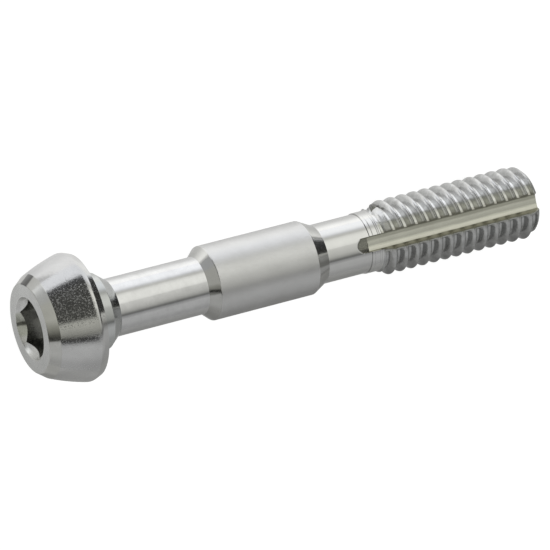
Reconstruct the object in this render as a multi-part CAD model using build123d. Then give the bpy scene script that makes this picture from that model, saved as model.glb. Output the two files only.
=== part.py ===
from build123d import *

import os
from math import atan, cos, degrees, pi, radians, tan

# Banjo bolt, turned from one bar and thread-rolled: a cone-shaped head with a
# hex socket, a slim shank, a fitted collar, a waist and an M6 thread that a
# fluid groove runs through. All lengths are in millimetres. Stations count
# along the bolt's axis from the flat front face of the head.

# Head
head_dia = 10.12
head_height = 4.35
cone_angle = 18.5
cone_bulge = 0.07
face_bevel_width = 0.6
face_bevel_height = 0.88
rim_bevel_height = 0.63
rim_bevel_angle = 21.0

# Hex socket in the front face
socket_across_flats = 4.05
socket_depth = 3.4
socket_mouth_dia = 4.95
socket_mouth_depth = 0.3
drill_point_angle = 118.0

# Neck under the head
neck_dia = 6.0
neck_length = 1.35
neck_bevel_length = 0.92

# Slim shank
shank_dia = 4.52
shank_length = 7.5

# Fitted collar, with a bevel at each end
collar_dia = 5.86
collar_length = 8.43
collar_front_angle = 42.0
collar_rear_angle = 28.0

# Waist between the collar and the thread
waist_dia = 4.68
waist_length = 3.75

# Thread, M6 x 1, right-handed, with a blunt crest, a tapered start and a bevelled tip
thread_major_dia = 5.8
thread_pitch = 1.0
thread_crest_width = 0.25
thread_root_width = 0.155
thread_flank_angle = 30.0
thread_blank_dia = 4.82
thread_blank_length = 1.0
thread_taper_length = 1.1
thread_length = 12.65
thread_crest_lead = 0.71
tip_bevel = 0.5

# Fluid groove, milled along the thread and open at the tip
groove_floor_from_axis = 2.05
groove_floor_width = 1.05
groove_wall_flare = 20.0
groove_lead_in = 0.15
groove_ramp_angle = 16.5

# Rounded and broken edges
bevel_edge_round = 0.25
rim_edge_round = 0.3
face_edge_break = 0.08
collar_edge_break = 0.06
neck_edge_break = 0.05

# How far the cutting shapes reach past the metal
overcut = 0.5
valley_overcut = 0.1

# Radii that follow from the sizes above
head_widest_at = head_height - rim_bevel_height
head_r = head_dia / 2
seat_r = head_r - rim_bevel_height * tan(radians(rim_bevel_angle))
face_bevel_r = head_r - (head_widest_at - face_bevel_height) * tan(radians(cone_angle))
face_r = face_bevel_r - face_bevel_width
neck_r = neck_dia / 2
shank_r = shank_dia / 2
collar_r = collar_dia / 2
waist_r = waist_dia / 2
blank_r = thread_blank_dia / 2
major_r = thread_major_dia / 2
flank_slope = tan(radians(thread_flank_angle))
thread_depth = (thread_pitch - thread_crest_width - thread_root_width) / (2 * flank_slope)
minor_r = major_r - thread_depth

# Stations that follow from the sizes above
neck_end_at = head_height + neck_length
shank_at = neck_end_at + neck_bevel_length
shank_end_at = shank_at + shank_length
collar_at = shank_end_at + (collar_r - shank_r) / tan(radians(collar_front_angle))
collar_end_at = collar_at + collar_length
waist_at = collar_end_at + (collar_r - waist_r) / tan(radians(collar_rear_angle))
blank_at = waist_at + waist_length
taper_at = blank_at + thread_blank_length
full_thread_at = taper_at + thread_taper_length
tip_at = full_thread_at + thread_length
tip_bevel_at = tip_at - tip_bevel


def on_profile(radius, station):
    """A point of the half section: radius across, station along the axis."""
    return (radius, 0, station)


def head_outline():
    """Flat face, bevel, slightly crowned cone and bevelled rim, down to the seat."""
    crown_r = (face_bevel_r + head_r) / 2 + cone_bulge
    crown_at = (face_bevel_height + head_widest_at) / 2 - cone_bulge / 2
    bevel_foot = on_profile(face_bevel_r, face_bevel_height)
    widest = on_profile(head_r, head_widest_at)
    seat_edge = on_profile(seat_r, head_height)
    return [
        Line(on_profile(0, 0), on_profile(face_r, 0)),
        Line(on_profile(face_r, 0), bevel_foot),
        ThreePointArc(bevel_foot, on_profile(crown_r, crown_at), widest),
        Line(widest, seat_edge),
        Line(seat_edge, on_profile(neck_r, head_height)),
    ]


def stem_outline():
    """Neck, shank, collar, waist and thread blank, then back along the axis."""
    outline = Polyline(
        on_profile(neck_r, head_height),
        on_profile(neck_r, neck_end_at),
        on_profile(shank_r, shank_at),
        on_profile(shank_r, shank_end_at),
        on_profile(collar_r, collar_at),
        on_profile(collar_r, collar_end_at),
        on_profile(waist_r, waist_at),
        on_profile(waist_r, blank_at),
        on_profile(blank_r, blank_at),
        on_profile(blank_r, taper_at),
        on_profile(major_r, full_thread_at),
        on_profile(major_r, tip_bevel_at),
        on_profile(major_r - tip_bevel, tip_at),
        on_profile(0, tip_at),
        on_profile(0, 0),
    )
    return outline.edges()


def rim_edges(solid, radius, station):
    """The circular edges of a turned solid that lie at a radius and a station."""
    near = 0.01
    return [
        edge
        for edge in solid.edges().filter_by(GeomType.CIRCLE)
        if abs(edge.radius - radius) < near and abs(edge.arc_center.Z - station) < near
    ]


def turned_blank():
    """The whole bolt as it leaves the lathe, with its edges broken."""
    blank = revolve(make_face([*head_outline(), *stem_outline()]), Axis.Z)
    blank = fillet(rim_edges(blank, face_bevel_r, face_bevel_height), bevel_edge_round)
    blank = fillet(rim_edges(blank, head_r, head_widest_at), rim_edge_round)
    blank = chamfer(rim_edges(blank, face_r, 0), face_edge_break)
    blank = chamfer(rim_edges(blank, collar_r, collar_at), collar_edge_break)
    blank = chamfer(rim_edges(blank, collar_r, collar_end_at), collar_edge_break)
    return chamfer(rim_edges(blank, neck_r, neck_end_at), neck_edge_break)


def valley_turn(start):
    """One turn of the V-shaped helical valley, from a station on the groove's side."""
    outer_r = major_r + valley_overcut
    root_half = thread_root_width / 2
    outer_half = root_half + (outer_r - minor_r) * flank_slope
    section = Polyline(
        on_profile(minor_r, start - root_half),
        on_profile(outer_r, start - outer_half),
        on_profile(outer_r, start + outer_half),
        on_profile(minor_r, start + root_half),
        close=True,
    )
    path = Pos(0, 0, start) * Helix(pitch=thread_pitch, height=thread_pitch, radius=minor_r)
    return sweep(make_face(section), path=path, is_frenet=True)


def cut_thread(bolt):
    """Cut the valley turn by turn. The turns join where the groove is milled next."""
    start = blank_at + thread_crest_lead - thread_pitch / 2
    while start - thread_pitch / 2 < tip_at:
        bolt -= valley_turn(start)
        start += thread_pitch
    return bolt


def fluid_groove():
    """The milled groove: flat floor, flared walls, and a ramp at its blind end."""
    height = major_r + overcut - groove_floor_from_axis
    floor_half = groove_floor_width / 2
    top_half = floor_half + height * tan(radians(groove_wall_flare))
    floor_at = blank_at - groove_lead_in
    ramp_top_at = floor_at - height / tan(radians(groove_ramp_angle))
    end_at = tip_at + overcut
    top_r = groove_floor_from_axis + height
    section = Polyline(
        (groove_floor_from_axis, -floor_half, ramp_top_at),
        (top_r, -top_half, ramp_top_at),
        (top_r, top_half, ramp_top_at),
        (groove_floor_from_axis, floor_half, ramp_top_at),
        close=True,
    )
    side = Polyline(
        on_profile(groove_floor_from_axis, floor_at),
        on_profile(top_r, ramp_top_at),
        on_profile(top_r, end_at),
        on_profile(groove_floor_from_axis, end_at),
        close=True,
    )
    channel = extrude(make_face(section), end_at - ramp_top_at, dir=(0, 0, 1))
    return channel & extrude(make_face(side), 2 * top_half, both=True)


def hex_socket():
    """Hexagon broached over a drilled hole, with a tapered mouth and a lead-in cone.

    One flat of the hexagon faces the fluid groove.
    """
    flat_r = socket_across_flats / 2
    corner_r = flat_r / cos(pi / 6)
    mouth_r = socket_mouth_dia / 2
    lead_in_at = socket_mouth_depth + corner_r - flat_r
    drill_end_at = socket_depth + flat_r / tan(radians(drill_point_angle / 2))
    bore = Polyline(
        on_profile(0, -overcut),
        on_profile(mouth_r, -overcut),
        on_profile(mouth_r, 0),
        on_profile(corner_r, socket_mouth_depth),
        on_profile(flat_r, lead_in_at),
        on_profile(flat_r, socket_depth),
        on_profile(0, drill_end_at),
        close=True,
    )
    hexagon = RegularPolygon(flat_r, 6, major_radius=False, rotation=30)
    return revolve(make_face(bore), Axis.Z) + extrude(hexagon, socket_depth)


def laid_down(bolt):
    """Lay the bolt on its head's rim and its last thread crest, with the groove on top."""
    lean = degrees(atan((head_r - major_r) / (tip_bevel_at - head_widest_at)))
    lying = Rot(0, lean, 0) * Rot(180, 0, 0) * Rot(0, 90, 0) * bolt
    box = lying.bounding_box()
    middle = box.center()
    return Pos(-middle.X, -middle.Y, -box.min.Z) * lying


bolt = laid_down(cut_thread(turned_blank()) - fluid_groove() - hex_socket())

os.makedirs("parts", exist_ok=True)
export_step(bolt, "parts/banjo_bolt.step")
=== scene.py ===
from math import acos, atan, atan2, cos, degrees, floor, pi, radians, sin, tan

import bpy
from mathutils import Matrix, Vector


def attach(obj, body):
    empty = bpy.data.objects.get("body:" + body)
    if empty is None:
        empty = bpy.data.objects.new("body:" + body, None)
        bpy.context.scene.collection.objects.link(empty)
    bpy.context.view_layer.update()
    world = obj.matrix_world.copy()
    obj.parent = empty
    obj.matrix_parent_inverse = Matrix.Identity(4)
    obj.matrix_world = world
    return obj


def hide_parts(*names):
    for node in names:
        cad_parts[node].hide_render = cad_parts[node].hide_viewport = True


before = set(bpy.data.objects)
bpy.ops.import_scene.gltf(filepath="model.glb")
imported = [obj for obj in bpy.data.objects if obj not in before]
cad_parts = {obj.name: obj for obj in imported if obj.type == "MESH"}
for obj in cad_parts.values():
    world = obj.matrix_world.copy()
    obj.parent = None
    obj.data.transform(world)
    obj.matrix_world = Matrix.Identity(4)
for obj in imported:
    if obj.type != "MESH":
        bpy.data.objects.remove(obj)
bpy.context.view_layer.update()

# One banjo bolt of steel, lying on a pale floor in a light tent. Lengths are in
# millimetres up to the mesh, which is in metres. Stations count along the bolt's
# axis from the flat front face of the head, and angles count around the axis from
# the middle of the fluid groove.
MM = 0.001

# Head
head_dia = 10.12
head_height = 4.35
cone_angle = 18.5
cone_bulge = 0.07
face_bevel_width = 0.56
face_bevel_height = 0.74
rim_bevel_height = 0.63
rim_bevel_angle = 21.0

# Hex socket
socket_across_flats = 4.05
socket_depth = 2.7
socket_mouth_dia = 4.95
socket_mouth_depth = 0.3
drill_point_angle = 118.0

# Neck, shank, collar and waist
neck_dia = 6.0
neck_length = 1.4
neck_bevel_length = 0.92
shank_dia = 4.52
shank_length = 7.45
collar_dia = 5.86
collar_length = 8.43
collar_front_angle = 42.0
collar_rear_angle = 28.0
waist_dia = 4.68
waist_length = 3.75

# Thread
thread_major_dia = 5.8
thread_pitch = 1.0
thread_crest_width = 0.2
thread_root_width = 0.2
thread_flank_angle = 30.0
thread_blank_dia = 4.82
thread_blank_length = 1.0
thread_taper_length = 0.75
thread_length = 13.0
thread_crest_lead = 0.71
tip_bevel = 0.5
crest_rounding = 0.2
blank_ring_leads = (0.28, 0.72, 0.86)
blank_ring_half_width = 0.04
blank_ring_depth = 0.03

# Metal torn up beside the groove's lower wall
torn_from_angle = 17.0
torn_to_angle = 24.0
torn_depth = 0.12

# Broken place of the first crest, folded over the valley behind it. Its line is skewed
# against the crest, in turns for each degree, and it ends some turns after its valley.
fold_from_angle = 240.0
fold_middle_angle = 268.0
fold_to_angle = 296.0
fold_fade_angle = 10.0
fold_skew = 0.018
fold_to_turns = 1.3
fold_heights = [
    (-0.5, 0.0), (0.42, 0.0), (0.48, 0.1), (0.66, 0.12), (0.74, 0.31), (1.04, 0.33), (1.16, -0.03),
    (1.3, -0.03),
]
# Between these turns of the fold, and past this share of its fade, it is painted near-black as shade
fold_painted_shade_turns = (0.58, 1.04)
fold_painted_shade_share = 0.2

# Fluid groove
groove_floor_from_axis = 2.05
groove_floor_width = 1.05
groove_wall_flare = 20.0
groove_floor_hollow_r = 3.0
groove_lead_in = 0.15
groove_ramp_angle = 16.5

# Small rounded edges
mouth_edge_round = 0.05
face_edge_round = 0.12
bevel_edge_round = 0.25
rim_edge_round = 0.7
collar_edge_round = 0.15
neck_edge_round = 0.1

# Fineness of the mesh
column_step = 2.0
corner_steps = 5
cone_steps = 10
socket_wall_rows = 10
socket_lead_rows = 4
ramp_row_step = 0.05
edge_row_gap = 0.04
ramp_rows_before = 0.1
thread_rows_to_valley = (0.475, 0.445, 0.415, 0.385, 0.35, 0.31, 0.26, 0.18)
sharp_angle = 24.0

# How far a zone of finish reaches past its last row
zone_past = 0.001
bevel_zone_past = 0.1

# Sizes that follow
head_widest_at = head_height - rim_bevel_height
head_r = head_dia / 2
seat_r = head_r - rim_bevel_height * tan(radians(rim_bevel_angle))
face_bevel_r = head_r - (head_widest_at - face_bevel_height) * tan(radians(cone_angle))
face_r = face_bevel_r - face_bevel_width
neck_r = neck_dia / 2
shank_r = shank_dia / 2
collar_r = collar_dia / 2
waist_r = waist_dia / 2
blank_r = thread_blank_dia / 2
major_r = thread_major_dia / 2
flank_slope = tan(radians(thread_flank_angle))
minor_r = major_r - (thread_pitch - thread_crest_width - thread_root_width) / (2 * flank_slope)
flat_r = socket_across_flats / 2
corner_r = flat_r / cos(pi / 6)
mouth_r = socket_mouth_dia / 2

neck_end_at = head_height + neck_length
shank_at = neck_end_at + neck_bevel_length
shank_end_at = shank_at + shank_length
collar_at = shank_end_at + (collar_r - shank_r) / tan(radians(collar_front_angle))
collar_end_at = collar_at + collar_length
waist_at = collar_end_at + (collar_r - waist_r) / tan(radians(collar_rear_angle))
blank_at = waist_at + waist_length
taper_at = blank_at + thread_blank_length
full_thread_at = taper_at + thread_taper_length
tip_at = full_thread_at + thread_length
tip_bevel_at = tip_at - tip_bevel
first_valley_at = blank_at + thread_crest_lead - thread_pitch / 2
groove_floor_at = blank_at - groove_lead_in
ramp_slope = tan(radians(groove_ramp_angle))
ramp_top_at = groove_floor_at - (waist_r - groove_floor_from_axis) / ramp_slope
lean = atan((head_r - major_r) / (tip_bevel_at - head_widest_at))

# How the bolt lies: on the head's rim and the last crests, with the groove on top
AXIS = Vector((cos(lean), 0, -sin(lean)))
GROOVE_SIDE = Vector((sin(lean), 0, cos(lean)))
LAID_DOWN = Matrix.Rotation(lean, 3, "Y") @ Matrix.Rotation(pi, 3, "X") @ Matrix.Rotation(pi / 2, 3, "Y")


def rounded(corners):
    """A half section from (station, radius, rounding) corners, with arcs at the rounded ones."""
    points = []
    for index, (station, radius, rounding) in enumerate(corners):
        here = Vector((station, radius))
        if not rounding or index in (0, len(corners) - 1):
            points.append(here)
            continue
        back = (Vector(corners[index - 1][:2]) - here).normalized()
        ahead = (Vector(corners[index + 1][:2]) - here).normalized()
        half = acos(max(-1.0, min(1.0, back.dot(ahead)))) / 2
        centre = here + (back + ahead).normalized() * rounding / sin(half)
        first = here + back * rounding / tan(half) - centre
        last = here + ahead * rounding / tan(half) - centre
        sweep = atan2(first.x * last.y - first.y * last.x, first.dot(last))
        for step in range(corner_steps + 1):
            turn = sweep * step / corner_steps
            points.append(centre + Matrix.Rotation(turn, 2) @ first)
    return points


def arc_through(start, middle, end, steps):
    """Points on the arc through three points, without its ends."""
    ax, ay = start
    bx, by = middle
    cx, cy = end
    d = 2 * (ax * (by - cy) + bx * (cy - ay) + cx * (ay - by))
    aa, bb, cc = ax * ax + ay * ay, bx * bx + by * by, cx * cx + cy * cy
    centre = Vector(((aa * (by - cy) + bb * (cy - ay) + cc * (ay - by)) / d,
                     (aa * (cx - bx) + bb * (ax - cx) + cc * (bx - ax)) / d))
    first = Vector(start) - centre
    last = Vector(end) - centre
    sweep = atan2(first.x * last.y - first.y * last.x, first.dot(last))
    return [centre + Matrix.Rotation(sweep * step / steps, 2) @ first for step in range(1, steps)]


def head_corners():
    """Corners of the head's outside, from the face's edge to the seat."""
    crown = ((face_bevel_height + head_widest_at) / 2 - cone_bulge / 2,
             (face_bevel_r + head_r) / 2 + cone_bulge)
    bevel_foot = (face_bevel_height, face_bevel_r)
    widest = (head_widest_at, head_r)
    cone = arc_through(bevel_foot, crown, widest, cone_steps)
    return [
        (0, face_r, face_edge_round),
        (*bevel_foot, bevel_edge_round),
        *((*point, 0) for point in cone),
        (*widest, rim_edge_round),
        (head_height, seat_r, 0),
    ]


def stem_corners():
    """Corners from the seat to the start of the thread."""
    return [
        (head_height, neck_r, 0),
        (neck_end_at, neck_r, neck_edge_round),
        (shank_at, shank_r, 0),
        (shank_end_at, shank_r, 0),
        (collar_at, collar_r, collar_edge_round),
        (collar_end_at, collar_r, collar_edge_round),
        (waist_at, waist_r, 0),
        (blank_at, waist_r, 0),
    ]


def columns():
    """Angles of the mesh's columns, in degrees, with lines on each hex corner and groove edge."""
    floor_half = degrees(atan(groove_floor_width / 2 / groove_floor_from_axis))
    wall_step = 0.25
    wall_lines = 8
    stops = {0.0, 360.0}
    for line in range(wall_lines + 1):
        stops.add(round(floor_half + line * wall_step, 4))
        stops.add(round(360 - floor_half - line * wall_step, 4))
    for corner in range(6):
        stops.add(30.0 + 60 * corner)
    angles = []
    ordered = sorted(stops)
    for low, high in zip(ordered, ordered[1:]):
        parts = max(1, round((high - low) / column_step))
        angles.extend(low + (high - low) * part / parts for part in range(parts))
    return angles + [360.0]


def groove_r(angle, station):
    """Distance from the axis to the groove's surface, or None where it isn't cut."""
    turn = radians(min(angle, 360 - angle))
    if turn > radians(45):
        return None
    rise = max(0.0, groove_floor_at - station) * ramp_slope
    floor_cut = (groove_floor_from_axis + rise) / cos(turn)
    half = groove_floor_width / 2
    across = min(floor_cut * sin(turn), half)
    floor_cut -= (half * half / 2 - across * across) / (2 * groove_floor_hollow_r)
    wall_start = groove_floor_width / 2
    lean_out = tan(radians(groove_wall_flare))
    side = groove_floor_from_axis * tan(turn) - wall_start
    if side <= 0:
        return floor_cut
    if tan(turn) >= lean_out:
        return None
    height = side / (lean_out - tan(turn))
    return max(floor_cut, (groove_floor_from_axis + height) / cos(turn))


def blank_outline(station):
    """Radius of the thread's blank before the valleys are rolled in."""
    if station < taper_at:
        return blank_r
    if station < full_thread_at:
        share = (station - taper_at) / thread_taper_length
        return blank_r + (major_r - blank_r) * share
    return major_r - max(0.0, station - tip_bevel_at)


def soft_min(a, b, blend):
    """The smaller of two values, rounded off where they meet."""
    if abs(a - b) >= blend:
        return min(a, b)
    return (a + b) / 2 - (blend + (a - b) * (a - b) / blend) / 4


def eased(share):
    """A share held between 0 and 1, with a soft start and end."""
    share = max(0.0, min(1.0, share))
    return share * share * (3 - 2 * share)


def thread_r(angle, station):
    """Radius of the threaded end: rounded crest, flanks and root, torn beside the groove."""
    turns = (station - first_valley_at) / thread_pitch - angle / 360
    nearest = max(0, floor(turns + 0.5))
    off_valley = abs(turns - nearest) * thread_pitch
    flank = minor_r + max(0.0, off_valley - thread_root_width / 2) / flank_slope
    blank = blank_outline(station)
    height = (blank - minor_r) / (major_r - minor_r)
    radius = soft_min(blank, flank, crest_rounding * height)
    share = eased((torn_to_angle - angle) / (torn_to_angle - torn_from_angle))
    torn = blank - torn_depth * height
    return max(radius, radius + (torn - radius) * share)


def folded(angle, station, radius):
    """The radius and the mark at a place of the thread, with its first crest folded over and part of the
    fold marked for painted shade.
    """
    share = min(angle - fold_from_angle, fold_to_angle - angle) / fold_fade_angle
    turns = (station - first_valley_at) / thread_pitch - angle / 360
    if share <= 0 or not 0 <= turns < fold_to_turns:
        return radius, ""
    skewed = turns + (angle - fold_middle_angle) * fold_skew
    fold_r = blank_r
    for (low, low_height), (high, high_height) in zip(fold_heights, fold_heights[1:]):
        if low <= skewed < high:
            part = (skewed - low) / (high - low)
            fold_r = blank_r + low_height + (high_height - low_height) * part
    if turns > 1:
        fold_r = max(fold_r, radius)
    # This part of the fold is marked to be painted near-black as shade
    dark = share > fold_painted_shade_share and fold_painted_shade_turns[0] < skewed < fold_painted_shade_turns[1]
    return radius + (fold_r - radius) * eased(share), "fold" if dark else ""


def hex_r(angle):
    """Distance from the axis to the hexagon's wall."""
    off_flat = radians((angle + 30) % 60 - 30)
    return flat_r / cos(off_flat)


class Skin:
    """A closed skin made of rows of points around the bolt's axis.

    A point is its station, its radius and a mark, which names the groove or the fold.
    """

    def __init__(self):
        self.angles = columns()
        self.rows = []
        self.zones = []

    def add(self, zone, points):
        self.rows.append(points)
        self.zones.append(zone)

    def ring(self, zone, station, radius):
        """A round row at one station."""
        self.add(zone, [(station, radius, "") for _ in self.angles])

    def cut_ring(self, zone, station, radius):
        """A row at one station that dips into the groove where the groove is deeper."""
        row = []
        for angle in self.angles:
            cut = groove_r(angle, station)
            inside = cut is not None and cut < radius
            row.append((station, cut if inside else radius, "groove" if inside else ""))
        self.add(zone, row)

    def helical(self, zone, low, high, offsets):
        """Rows that climb one pitch a turn along the thread, held between two stations."""
        turn = floor((low - first_valley_at) / thread_pitch) - 2
        while first_valley_at + turn * thread_pitch < high + thread_pitch:
            for offset in offsets:
                start = first_valley_at + (turn + offset) * thread_pitch
                if start < high and start + thread_pitch > low:
                    self.helical_row(zone, start, low, high)
            turn += 1

    def helical_row(self, zone, start, low, high):
        """A row that climbs one pitch, with the groove cut and the first crest folded."""
        row = []
        for angle in self.angles:
            station = min(high, max(low, start + thread_pitch * angle / 360))
            radius = thread_r(angle % 360, station)
            cut = groove_r(angle, station)
            if cut is not None and cut < radius:
                row.append((station, cut, "groove"))
            else:
                row.append((station, *folded(angle, station, radius)))
        self.add(zone, row)

    @staticmethod
    def face_zone(marks, zone):
        """A face belongs to the fold where one corner does, and to the groove where all do."""
        if "fold" in marks:
            return "fold"
        return "groove" if all(mark == "groove" for mark in marks) else zone

    def mesh(self, name):
        """Weld the rows into one closed mesh in metres, laid down on its head and thread."""
        known = {}
        points = []

        def vertex(column, point):
            station, radius, _ = point
            column = 0 if radius == 0 else column % (len(self.angles) - 1)
            key = (column, round(station, 5), round(radius, 5))
            if key not in known:
                known[key] = len(points)
                angle = radians(self.angles[column])
                points.append(Vector((radius * cos(angle), radius * sin(angle), station)))
            return known[key]

        faces = []
        zones = []
        for above, below, zone in zip(self.rows, self.rows[1:], self.zones[1:]):
            for column in range(len(self.angles) - 1):
                corners = (above[column], above[column + 1], below[column + 1], below[column])
                ids = [
                    vertex(column, corners[0]),
                    vertex(column + 1, corners[1]),
                    vertex(column + 1, corners[2]),
                    vertex(column, corners[3]),
                ]
                face = [i for place, i in enumerate(ids) if i != ids[place - 1]]
                if len(set(face)) < 3:
                    continue
                faces.append(face)
                zones.append(self.face_zone([mark for _, _, mark in corners], zone))
        points = [LAID_DOWN @ point for point in points]
        ends = [min(p.x for p in points), max(p.x for p in points)]
        self.face_at = Vector((-sum(ends) / 2, 0, -min(p.z for p in points)))
        mesh = bpy.data.meshes.new(name)
        mesh.from_pydata([(point + self.face_at) * MM for point in points], [], faces)
        return mesh, zones


def socket_rows(skin):
    """The drilled point, the hexagon, its curved lead-in and the tapered mouth."""
    drill_end_at = socket_depth + flat_r / tan(radians(drill_point_angle / 2))
    skin.ring("socket", drill_end_at, 0)
    for share in (0.3, 0.65, 1.0):
        skin.ring("socket", drill_end_at + (socket_depth - drill_end_at) * share, flat_r * share)
    meets = [socket_mouth_depth + corner_r - hex_r(angle) for angle in skin.angles]
    for step in range(socket_wall_rows + 1):
        share = step / socket_wall_rows
        skin.add("socket", [
            (socket_depth + (meet - socket_depth) * share, hex_r(angle), "")
            for meet, angle in zip(meets, skin.angles)
        ])
    for step in range(1, socket_lead_rows + 1):
        share = step / socket_lead_rows
        skin.add("socket_mouth", [
            (meet + (socket_mouth_depth - meet) * share,
             hex_r(angle) + (corner_r - hex_r(angle)) * share, "")
            for meet, angle in zip(meets, skin.angles)
        ])
    mouth = rounded([
        (socket_mouth_depth, corner_r, 0),
        (0, mouth_r, mouth_edge_round),
        (0, face_r, 0),
    ])
    for station, radius in mouth[1:-1]:
        skin.ring("socket_mouth", station, radius)
    for share in (0.35, 0.7):
        skin.ring("face", 0, mouth_r + (face_r - mouth_r) * share)


def smooth_rows(skin):
    """The turned outside from the face's edge to the thread's blank."""
    corners = [(0, mouth_r, 0), *head_corners(), *stem_corners()]
    zone_ends = [
        ("face", zone_past),
        ("bevel", face_bevel_height + bevel_zone_past),
        ("cone", head_widest_at + zone_past),
        ("rim", head_height + zone_past),
        ("neck", shank_at + zone_past),
        ("shank", shank_end_at + zone_past),
        ("collar_bevel", collar_at + zone_past),
        ("collar", collar_end_at + zone_past),
        ("collar_bevel", waist_at + zone_past),
        ("waist", blank_at + zone_past),
    ]
    points = rounded(corners)[1:]
    for before, point in zip([points[0], *points], points):
        zone = next(name for name, end in zone_ends if point.x <= end)
        if before.x < ramp_top_at < point.x:
            skin.ring(zone, before.x + edge_row_gap, before.y)
            stations = [ramp_top_at - ramp_rows_before]
            while stations[-1] < point.x - ramp_row_step * 1.5:
                stations.append(stations[-1] + ramp_row_step)
            for station in [*stations, point.x]:
                skin.cut_ring(zone, station, point.y)
            continue
        length = (point - before).length
        shares = {1.0}
        if length > 5 * edge_row_gap:
            shares |= {edge_row_gap / length, 0.5, 1 - edge_row_gap / length}
        for share in sorted(shares):
            place = before.lerp(point, share)
            skin.ring(zone, place.x, place.y)


def thread_rows(skin):
    """The blank's step, the tapered start, the full thread, the bevelled tip and its end."""
    skin.cut_ring("waist", blank_at, blank_r)
    for lead in blank_ring_leads:
        ring_at = blank_at + lead
        skin.cut_ring("waist", ring_at - blank_ring_half_width, blank_r)
        skin.cut_ring("waist", ring_at, blank_r - blank_ring_depth)
        skin.cut_ring("waist", ring_at + blank_ring_half_width, blank_r)
    half = [*thread_rows_to_valley, thread_root_width / 2 / thread_pitch]
    offsets = sorted([0.0, 0.5, *half, *(1 - share for share in half)])
    finer = sorted([*offsets, *((a + b) / 2 for a, b in zip(offsets, [*offsets[1:], 1.0]))])
    skin.helical("waist", ring_at + blank_ring_half_width, taper_at, finer)
    skin.helical("thread", taper_at, full_thread_at, finer)
    skin.helical("thread", full_thread_at, tip_bevel_at, offsets)
    skin.helical("thread", tip_bevel_at, tip_at, finer)
    edge = []
    for angle in skin.angles:
        radius = thread_r(angle % 360, tip_at)
        edge.append(min(radius, groove_r(angle, tip_at) or radius))
    for share in (1.0, 0.75, 0.4):
        skin.add("tip", [(tip_at, radius * share, "") for radius in edge])
    skin.ring("tip", tip_at, 0)


# Materials


class Nodes:
    """A small helper that adds linked nodes to one tree."""

    def __init__(self, tree):
        self.tree = tree
        tree.nodes.clear()

    def add(self, kind, inputs=(), **settings):
        node = self.tree.nodes.new(kind)
        for name, value in settings.items():
            setattr(node, name, value)
        for socket, value in dict(inputs).items():
            if isinstance(value, bpy.types.NodeSocket):
                self.tree.links.new(value, node.inputs[socket])
            else:
                node.inputs[socket].default_value = value
        return node

    def math(self, operation, a, b=0.0):
        return self.add("ShaderNodeMath", {0: a, 1: b}, operation=operation).outputs[0]

    def span(self, value, low, high, to_low=0.0, to_high=1.0, smooth=True):
        """Map a value from one range to another, and hold it at the ends."""
        return self.add(
            "ShaderNodeMapRange",
            {0: value, 1: low, 2: high, 3: to_low, 4: to_high},
            interpolation_type="SMOOTHSTEP" if smooth else "LINEAR",
        ).outputs[0]

    def mix(self, share, low, high):
        return self.add("ShaderNodeMix", {0: share, 2: low, 3: high}, data_type="FLOAT").outputs[0]

    def mix_colour(self, share, low, high, blend_type):
        inputs = {0: share, 6: low, 7: high}
        node = self.add("ShaderNodeMix", inputs, data_type="RGBA", blend_type=blend_type)
        return node.outputs[2]

    def along(self, vector, direction):
        """How far a place lies along a direction."""
        inputs = {0: vector, 1: direction}
        return self.add("ShaderNodeVectorMath", inputs, operation="DOT_PRODUCT").outputs[1]

    def seen(self):
        """1 for rays that come from the camera, straight or through glass, and 0 for others."""
        path = self.add("ShaderNodeLightPath")
        return self.math("MAXIMUM", path.outputs["Is Camera Ray"], path.outputs["Is Transmission Ray"])

    def glow(self, share, profile):
        """Brightness from (share, brightness) stops, which may go up to 2."""
        stops = [(place, (level / 2, level / 2, level / 2)) for place, level in profile]
        return self.math("MULTIPLY", self.ramp(share, stops), 2.0)

    def noise(self, vector, scale, detail=2.0, roughness=0.5):
        node = self.add(
            "ShaderNodeTexNoise",
            {"Vector": vector, "Scale": scale, "Detail": detail, "Roughness": roughness},
        )
        return node.outputs[0]

    def noise_along(self, value, scale, detail=2.0):
        node = self.add("ShaderNodeTexNoise", noise_dimensions="1D")
        self.tree.links.new(value, node.inputs["W"])
        node.inputs["Scale"].default_value = scale
        node.inputs["Detail"].default_value = detail
        return node.outputs[0]

    def ramp(self, value, stops):
        """A colour ramp with (place, colour) stops."""
        node = self.add("ShaderNodeValToRGB", {0: value})
        elements = node.color_ramp.elements
        while len(elements) > 1:
            elements.remove(elements[-1])
        elements[0].position = stops[0][0]
        elements[0].color = (*stops[0][1], 1)
        for place, colour in stops[1:]:
            elements.new(place).color = (*colour, 1)
        return node.outputs[0]

    def bump(self, height, depth, normal=None):
        """A bump of a height in millimetres."""
        inputs = {"Height": height, "Strength": 1.0, "Distance": depth * MM}
        if normal is not None:
            inputs["Normal"] = normal
        return self.add("ShaderNodeBump", inputs).outputs[0]


# How the bands of painted light and shade waver in mm, and how closely turning marks follow each other
BAND_WAVER = 0.03
TURNING_SCALE = 14.0

# Pits on the cone and the rim, mostly in a band across the bolt: their size, a shift of
# their pattern, where the band starts and stops, and how much of them is left elsewhere
PIT_SIZE = 0.11
PIT_PLACE = (7, 3, 5)
PITS_START = (-0.35, 0.0)
PITS_STOP = (3.0, 2.5)
PITS_ELSEWHERE = 0.25

# A dark patch of painted shade on the bevel's far side in the picture, between two heights over the axis
PAINTED_SHADE_FADE = 0.25
PAINTED_SHADE_SIDE = (2.4, 2.8)
PAINTED_SHADE_STRENGTH = 0.75


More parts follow.
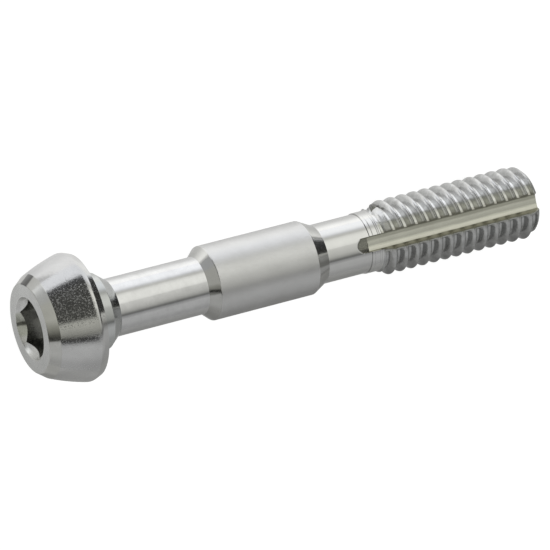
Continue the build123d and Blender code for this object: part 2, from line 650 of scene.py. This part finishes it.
def steel(name, dark, light, rough, blotch=2.0, grain=0.12, grain_depth=0.0006,
          turning_depth=0.0, scratch_depth=0.0, across=(), pits=0.0, painted_shade_patch=()):
    """Bare steel: blotches of tone, fine grain, turning marks around and scratches along, with bands of
    painted light and shade across it and a patch of painted shade where asked.
    """
    material = bpy.data.materials.new(name)
    material.use_nodes = True
    n = Nodes(material.node_tree)
    place = n.add("ShaderNodeTexCoord").outputs["Object"]
    mm = n.add("ShaderNodeVectorMath", {0: place, 3: 1 / MM}, operation="SCALE").outputs[0]
    side = n.add("ShaderNodeSeparateXYZ", {0: mm}).outputs["Y"]
    tone = n.noise(mm, 1 / blotch, 3.0, 0.6)
    colour = n.ramp(tone, [(0.3, dark), (0.7, light)])
    speck = n.noise(mm, 1 / grain, 2.0, 0.6)
    roughness = n.span(speck, 0.25, 0.75, rough[0], rough[1])
    if pits:
        moved = n.add("ShaderNodeVectorMath", {0: mm, 1: PIT_PLACE}).outputs[0]
        pitted = n.span(n.noise(moved, 1 / PIT_SIZE, 3.0, 0.7), 0.5, 0.66)
        pitted = n.math("MULTIPLY", pitted, n.span(side, *PITS_START, PITS_ELSEWHERE, 1.0))
        pitted = n.math("MULTIPLY", pitted, n.span(side, *PITS_STOP, PITS_ELSEWHERE, 1.0))
        roughness = n.mix(pitted, roughness, pits)
    normal = n.bump(speck, grain_depth)
    if turning_depth:
        station = n.along(mm, AXIS)
        normal = n.bump(n.noise_along(station, TURNING_SCALE), turning_depth, normal)
    waver = tone
    if scratch_depth:
        squeeze = n.add("ShaderNodeMapping", {0: mm, 3: (0.06, 1.0, 1.0)}).outputs[0]
        waver = n.noise(squeeze, 9.0, 3.0, 0.6)
        normal = n.bump(waver, scratch_depth, normal)
    # Bands of painted light and shade: the colour is multiplied by a band chosen by the distance toward
    # the far side
    if across:
        side = n.math("ADD", side, n.span(waver, 0.3, 0.7, -BAND_WAVER, BAND_WAVER))
        share = n.span(side, -BAND_SPAN, BAND_SPAN, smooth=False)
        painted_bands = n.ramp(share, [((at / BAND_SPAN + 1) / 2, band) for at, band in across])
        colour = n.mix_colour(1.0, colour, painted_bands, "MULTIPLY")
    # A patch of painted shade, between two heights over the axis and toward the far side, mixed toward
    # black
    if painted_shade_patch:
        low, high = painted_shade_patch
        height = n.along(mm, GROOVE_SIDE)
        spot = n.span(height, low, low + PAINTED_SHADE_FADE)
        spot = n.math("MULTIPLY", spot, n.span(height, high, high - PAINTED_SHADE_FADE))
        spot = n.math("MULTIPLY", spot, n.span(side, *PAINTED_SHADE_SIDE, 0.0, PAINTED_SHADE_STRENGTH))
        colour = n.mix_colour(spot, colour, (0, 0, 0, 1), "MIX")
    shader = n.add("ShaderNodeBsdfPrincipled", {
        "Base Color": colour,
        "Roughness": roughness,
        "Normal": normal,
    })
    shader.inputs["Metallic"].default_value = 1.0
    n.add("ShaderNodeOutputMaterial", {0: shader.outputs[0]})
    return material


# Bands of painted light and shade across the bolt, by the distance in mm from its middle plane toward
# the far side in the picture, which multiply each zone's colour. On the thread the bands beside the
# groove are olive and darker as painted shade, and the white bands toward the far side are painted
# highlight.
BAND_SPAN = 5.0
THREAD_PAINTED_SHADING = [
    (-2.7, (0.5, 0.5, 0.5)), (-2.2, (0.7, 0.7, 0.7)), (-1.0, (0.74, 0.74, 0.74)),
    (-0.84, (0.7, 0.7, 0.67)), (-0.78, (0.66, 0.66, 0.62)), (0.5, (0.58, 0.57, 0.52)),
    (0.72, (0.6, 0.59, 0.54)), (0.85, (0.78, 0.78, 0.74)), (1.1, (0.88, 0.88, 0.83)),
    (1.3, (0.86, 0.86, 0.81)), (1.42, (0.7, 0.7, 0.67)), (1.52, (0.95, 0.95, 0.95)),
    (1.65, (1, 1, 1)), (1.95, (1, 1, 1)), (2.15, (0.84, 0.84, 0.85)), (2.3, (0.77, 0.77, 0.775)),
    (2.55, (0.77, 0.77, 0.77)), (2.75, (0.92, 0.92, 0.92)),
]

# The groove's bands are painted light and shade: darker olive walls and fine dark lines beside the upper
# wall as painted shade, and a brighter strip along the lower one as painted highlight
GROOVE_PAINTED_SHADING = [
    (-0.9, (0.63, 0.61, 0.54)), (-0.56, (0.56, 0.54, 0.47)), (-0.5, (0.8, 0.79, 0.73)),
    (-0.42, (0.92, 0.91, 0.85)), (-0.3, (1.0, 0.99, 0.93)), (-0.2, (0.85, 0.85, 0.79)),
    (-0.11, (0.64, 0.64, 0.6)), (0.05, (0.74, 0.74, 0.7)), (0.2, (0.87, 0.87, 0.82)),
    (0.3, (0.7, 0.7, 0.65)), (0.36, (0.64, 0.64, 0.59)), (0.4, (0.74, 0.74, 0.69)),
    (0.5, (0.7, 0.7, 0.64)), (0.56, (0.34, 0.33, 0.27)), (0.9, (0.4, 0.39, 0.32)),
]
# Bands of the head, collar and neck: where a band is 1 the colour stays, and darker bands are painted
# shade, such as the dark bands across the bevel, the collar's bevels and the socket's mouth, and the
# darker edges of the cone, rim, collar and neck
CONE_PAINTED_SHADING = [
    (-1.2, (1, 1, 1)), (-0.9, (0.76, 0.76, 0.725)), (0.1, (0.76, 0.76, 0.725)),
    (2.7, (0.78, 0.78, 0.78)), (3.2, (0.74, 0.74, 0.745)),
]
BEVEL_PAINTED_SHADING = [
    (-1.0, (1, 1, 1)), (-0.9, (0.45, 0.45, 0.43)), (-0.7, (0.3, 0.3, 0.28)),
    (-0.5, (0.27, 0.27, 0.25)), (-0.3, (0.4, 0.4, 0.37)), (0.1, (0.65, 0.65, 0.61)),
    (0.7, (1, 1, 0.97)), (2.5, (1, 1, 0.98)), (3.1, (0.85, 0.85, 0.85)),
]
MOUTH_PAINTED_SHADING = [
    (-0.8, (0.74, 0.74, 0.72)), (-0.6, (0.62, 0.63, 0.57)), (0.02, (0.62, 0.63, 0.57)),
    (0.16, (0.16, 0.16, 0.14)), (0.34, (0.16, 0.16, 0.14)), (0.46, (0.62, 0.63, 0.57)),
    (1.0, (0.62, 0.63, 0.57)), (1.3, (0.88, 0.88, 0.88)),
]
COLLAR_BEVEL_PAINTED_SHADING = [
    (-0.8, (1, 1, 1)), (-0.66, (0.5, 0.5, 0.48)), (-0.4, (0.45, 0.45, 0.43)),
    (-0.1, (0.7, 0.7, 0.68)), (0.1, (1, 1, 1)),
]
RIM_PAINTED_SHADING = [(2.6, (1, 1, 1)), (3.2, (0.84, 0.84, 0.845))]
COLLAR_PAINTED_SHADING = [
    (-2.75, (0.78, 0.78, 0.78)), (-2.35, (0.83, 0.83, 0.83)), (-2.0, (0.97, 0.97, 0.97)),
    (-1.7, (1, 1, 1)), (1.6, (1, 1, 1)), (1.9, (0.95, 0.95, 0.95)),
]
NECK_PAINTED_SHADING = [(-0.7, (1, 1, 0.99)), (-0.3, (0.8, 0.8, 0.785))]


def steel_finishes():
    """One finish for each zone of the bolt."""
    return {
        "face": steel("steel_face", (0.45, 0.455, 0.445), (0.52, 0.525, 0.515), (0.22, 0.32)),
        "bevel": steel("steel_bevel", (0.45, 0.45, 0.43), (0.52, 0.52, 0.5), (0.14, 0.22),
                       grain_depth=0.0012, across=BEVEL_PAINTED_SHADING, painted_shade_patch=(4.0, 5.3)),
        "cone": steel("steel_cone", (0.49, 0.49, 0.485), (0.56, 0.56, 0.555), (0.08, 0.14),
                      grain=0.1, grain_depth=0.004, pits=0.8, across=CONE_PAINTED_SHADING),
        "rim": steel("steel_rim", (0.44, 0.44, 0.43), (0.5, 0.5, 0.49), (0.08, 0.14),
                     pits=0.3, across=RIM_PAINTED_SHADING),
        "neck": steel("steel_neck", (0.44, 0.45, 0.45), (0.5, 0.51, 0.51), (0.1, 0.16),
                      turning_depth=0.0006, across=NECK_PAINTED_SHADING),
        "shank": steel("steel_shank", (0.49, 0.49, 0.487), (0.55, 0.55, 0.547), (0.06, 0.1),
                       blotch=0.8, grain_depth=0.0003, turning_depth=0.0003),
        "collar": steel("steel_collar", (0.5, 0.5, 0.494), (0.545, 0.545, 0.54), (0.3, 0.4),
                        grain=0.09, grain_depth=0.007, turning_depth=0.002, across=COLLAR_PAINTED_SHADING),
        "collar_bevel": steel("steel_collar_bevel", (0.4, 0.4, 0.385), (0.45, 0.45, 0.435),
                              (0.1, 0.17), grain_depth=0.0006, turning_depth=0.0006,
                              across=COLLAR_BEVEL_PAINTED_SHADING),
        "waist": steel("steel_waist", (0.5, 0.5, 0.49), (0.54, 0.54, 0.53), (0.07, 0.11),
                       grain_depth=0.0002, turning_depth=0.0002),
        "thread": steel("steel_thread", (0.47, 0.47, 0.46), (0.63, 0.635, 0.63), (0.16, 0.26),
                        blotch=0.6, grain=0.1, grain_depth=0.004, across=THREAD_PAINTED_SHADING),
        # The fold's steel is near-black: painted shade
        "fold": steel("steel_fold_painted_shade", (0.035, 0.035, 0.03), (0.15, 0.15, 0.13), (0.2, 0.3),
                      blotch=0.3, grain=0.1, grain_depth=0.004),
        "groove": steel("steel_groove", (0.54, 0.54, 0.5), (0.6, 0.6, 0.56), (0.14, 0.22),
                        scratch_depth=0.003, across=GROOVE_PAINTED_SHADING),
        "socket": steel("steel_socket", (0.4, 0.4, 0.385), (0.5, 0.5, 0.48), (0.14, 0.22)),
        "socket_mouth": steel("steel_socket_mouth", (0.66, 0.66, 0.65), (0.74, 0.74, 0.73),
                              (0.24, 0.34), across=MOUTH_PAINTED_SHADING),
        "tip": steel("steel_tip", (0.4, 0.4, 0.38), (0.48, 0.48, 0.46), (0.25, 0.35),
                     turning_depth=0.001),
    }


def banjo_bolt():
    """The whole bolt as one closed mesh. Returns where the middle of its face lies, in mm."""
    skin = Skin()
    socket_rows(skin)
    smooth_rows(skin)
    thread_rows(skin)
    mesh, zones = skin.mesh("bolt_skin")
    finishes = steel_finishes()
    for material in finishes.values():
        mesh.materials.append(material)
    numbers = {name: number for number, name in enumerate(finishes)}
    for polygon, zone in zip(mesh.polygons, zones):
        polygon.material_index = numbers[zone]
    mesh.shade_smooth()
    mesh.set_sharp_from_angle(angle=radians(sharp_angle))
    bolt = bpy.data.objects.new("bolt_skin", mesh)
    bpy.context.collection.objects.link(bolt)
    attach(bolt, "root")
    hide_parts("banjo_bolt")
    return skin.face_at


# Studio

# Angles around the bolt, from the horizon below it in the picture, over the top, to
# the horizon above it in the picture, with the light tent's brightness there
TENT = [
    (-180, 1.72), (-165, 1.72), (-150, 1.1), (-30, 0.5), (0, 0.5), (17, 0.62), (38, 0.66),
    (50, 0.4), (53, 0.25), (57, 0.25), (61, 0.42), (66, 0.59), (75, 0.77), (84, 0.86), (93, 0.93),
    (101, 1.0), (104, 1.25), (112, 1.36), (124, 1.38), (133, 1.33), (139, 1.19), (146, 0.88),
    (150, 0.9), (155, 1.02), (163, 1.48), (171, 1.67), (180, 1.72),
]

# Zones of the tent with a brightness of their own, inside soft limits that are written
# as what is limited, where the zone is out and where it is in: the angle around the
# bolt in degrees, or the part of the direction that points along it to the tip, or up
TENT_ZONES = {
    "end at the head": (0.68, [("along", -0.5, -0.62)]),
    "seam of the cloth": (0.06, [("angle", 46, 49), ("angle", 60, 57), ("along", 0.1, -0.1)]),
    "gap beside the head": (0.05, [("angle", 61, 54), ("up", -0.02, 0.01), ("along", -0.86, -0.9)]),
    "opening for the camera": (0.11, [
        ("along", -0.56, -0.48), ("along", 0.2, 0.12), ("angle", 86, 91), ("angle", 169, 163),
    ]),
    "gap above the tip": (0.07, [
        ("angle", 62, 68), ("angle", 158, 152), ("along", 0.88, 0.86), ("along", 0.72, 0.76),
    ]),
    "far end above": (0.06, [("angle", 86, 92), ("along", 0.77, 0.81)]),
    "far end below": (0.06, [("angle", -158, -163), ("along", 0.77, 0.81)]),
}
WORLD_WHITE = 1.02

# Tint around the bolt, as shares of the whole turn
WARM = (1.0, 1.0, 0.955)
PLAIN = (0.995, 1.0, 1.0)
COOL = (0.965, 0.98, 1.01)
TENT_TINTS = [
    (0.0, COOL), (0.4, PLAIN), (0.64, PLAIN), (0.67, WARM), (0.91, WARM), (0.94, COOL), (1.0, COOL),
]


def light_tent():
    """World light: a tent with a bright roof and darker zones, which the camera sees as white."""
    world = bpy.data.worlds.new("light_tent")
    bpy.context.scene.world = world
    world.use_nodes = True
    n = Nodes(world.node_tree)
    way = n.add("ShaderNodeTexCoord").outputs["Generated"]
    along, depth, up = n.add("ShaderNodeSeparateXYZ", {0: way}).outputs
    angle = n.math("ARCTAN2", up, n.math("MULTIPLY", depth, -1.0))
    share = n.span(angle, -pi, pi, smooth=False)
    level = n.glow(share, [((turn + 180) / 360, glow) for turn, glow in TENT])
    parts = {"along": (along, 1), "up": (up, 1), "angle": (angle, radians(1))}
    for zone_level, limits in TENT_ZONES.values():
        inside = 1.0
        for name, outer, inner in limits:
            value, unit = parts[name]
            inside = n.math("MULTIPLY", n.span(value, outer * unit, inner * unit), inside)
        level = n.mix(inside, level, zone_level)
    level = n.mix(n.seen(), level, WORLD_WHITE)
    background = n.add("ShaderNodeBackground", {0: n.ramp(share, TENT_TINTS), 1: level})
    n.add("ShaderNodeOutputWorld", {0: background.outputs[0]})


FLOOR_HALF = 34.0
FLOOR_DROP = 0.01
FLOOR_SHADE = 0.4
FLOOR_WHITE = 0.86

# How bright the floor shows in the metal, by the distance from under the bolt: beside most of it, and
# before the head's face. This glow reaches glossy rays only and is a painted reflection: dim on one
# side, and on the other low beside the bolt as painted shadow and brighter away from it. The second
# takes over between two places along the floor, and toward the tip's end the glow fades out.
FLOOR_SPAN = 16.0
FLOOR_PAINTED_REFLECTION = [
    (-16, 0.26), (-8.6, 0.17), (-4.7, 0.14), (-1.5, 0.55), (2.5, 0.5), (6, 0.8), (9.6, 1.2),
    (14, 1.5), (16, 1.52),
]
FLOOR_PAINTED_REFLECTION_BEFORE_FACE = [
    (-16, 0.35), (-5, 0.42), (-3.3, 0.46), (0, 0.52), (2.4, 0.6), (6, 0.62), (12, 0.8), (16, 0.85),
]
BEFORE_FACE = (-21.5, -23.0)
PAST_TIP = (30.0, 23.0)


def pale_floor():
    """A floor that is white to the camera, keeps the bolt's shadow, and shows in the metal as a painted
    reflection.
    """
    half = FLOOR_HALF * MM
    corners = [(-half, -half, 0), (half, -half, 0), (half, half, 0), (-half, half, 0)]
    mesh = bpy.data.meshes.new("floor")
    mesh.from_pydata(corners, [], [(0, 1, 2, 3)])
    ground = bpy.data.objects.new("floor", mesh)
    bpy.context.collection.objects.link(ground)
    ground.location.z = -FLOOR_DROP * MM
    material = bpy.data.materials.new("floor_paper")
    material.use_nodes = True
    n = Nodes(material.node_tree)
    place = n.add("ShaderNodeTexCoord").outputs["Object"]
    along, depth, _ = n.add("ShaderNodeSeparateXYZ", {0: place}).outputs
    share = n.span(depth, -FLOOR_SPAN * MM, FLOOR_SPAN * MM, smooth=False)
    beside, before = (
        n.glow(share, [((at / FLOOR_SPAN + 1) / 2, glow) for at, glow in profile])
        for profile in (FLOOR_PAINTED_REFLECTION, FLOOR_PAINTED_REFLECTION_BEFORE_FACE)
    )
    painted_reflection = n.mix(n.span(along, *(at * MM for at in BEFORE_FACE)), beside, before)
    painted_reflection = n.math("MULTIPLY", painted_reflection, n.span(along, *(at * MM for at in PAST_TIP)))
    # The painted reflection and its painted shadow reach glossy rays only
    glossy = n.add("ShaderNodeLightPath").outputs["Is Glossy Ray"]
    painted_reflection = n.math("MULTIPLY", painted_reflection, glossy)
    glow = n.math("MAXIMUM", n.math("MULTIPLY", n.seen(), FLOOR_WHITE), painted_reflection)
    paper = n.add("ShaderNodeBsdfDiffuse", {0: (FLOOR_SHADE, FLOOR_SHADE, FLOOR_SHADE, 1)})
    light = n.add("ShaderNodeEmission", {0: (1, 1, 1, 1), 1: glow})
    both = n.add("ShaderNodeAddShader", {0: paper.outputs[0], 1: light.outputs[0]})
    n.add("ShaderNodeOutputMaterial", {0: both.outputs[0]})
    mesh.materials.append(material)


# Camera: it looks nearly straight down on the groove, from a little toward the head.
# Angles are in degrees, and the focal length is that of the photograph in its pixels.
VIEW_TO_HEAD = 23.5
VIEW_ASIDE = 7.2
VIEW_SLOPE = 14.56
VIEW_DISTANCE = 461.5
AIM_STATION = 20.66
AIM_RIGHT = 0.2
AIM_UP = -0.7
IMAGE_PX = 550
FOCAL_PX = 6000
SENSOR_WIDTH = 36.0


def photo_camera(face_at):
    """A long lens at the photograph's angle and distance, placed about the bolt."""
    aside = radians(VIEW_ASIDE)
    over = GROOVE_SIDE * cos(aside) + Vector((0, 1, 0)) * sin(aside)
    back = over * cos(radians(VIEW_TO_HEAD)) - AXIS * sin(radians(VIEW_TO_HEAD))
    along = (AXIS - back * AXIS.dot(back)).normalized()
    across = back.cross(along)
    slope = radians(VIEW_SLOPE)
    right = along * cos(slope) - across * sin(slope)
    up = along * sin(slope) + across * cos(slope)
    aim = face_at + AXIS * AIM_STATION + right * AIM_RIGHT + up * AIM_UP
    data = bpy.data.cameras.new("photo_camera")
    data.sensor_width = SENSOR_WIDTH
    data.lens = FOCAL_PX * SENSOR_WIDTH / IMAGE_PX
    data.clip_start = 0.01
    data.clip_end = 10
    camera = bpy.data.objects.new("photo_camera", data)
    bpy.context.collection.objects.link(camera)
    turn = Matrix((right, up, back)).transposed().to_4x4()
    camera.matrix_world = Matrix.Translation((aim + back * VIEW_DISTANCE) * MM) @ turn
    bpy.context.scene.camera = camera


light_tent()
pale_floor()
photo_camera(banjo_bolt())
bpy.context.scene.view_settings.view_transform = "Standard"
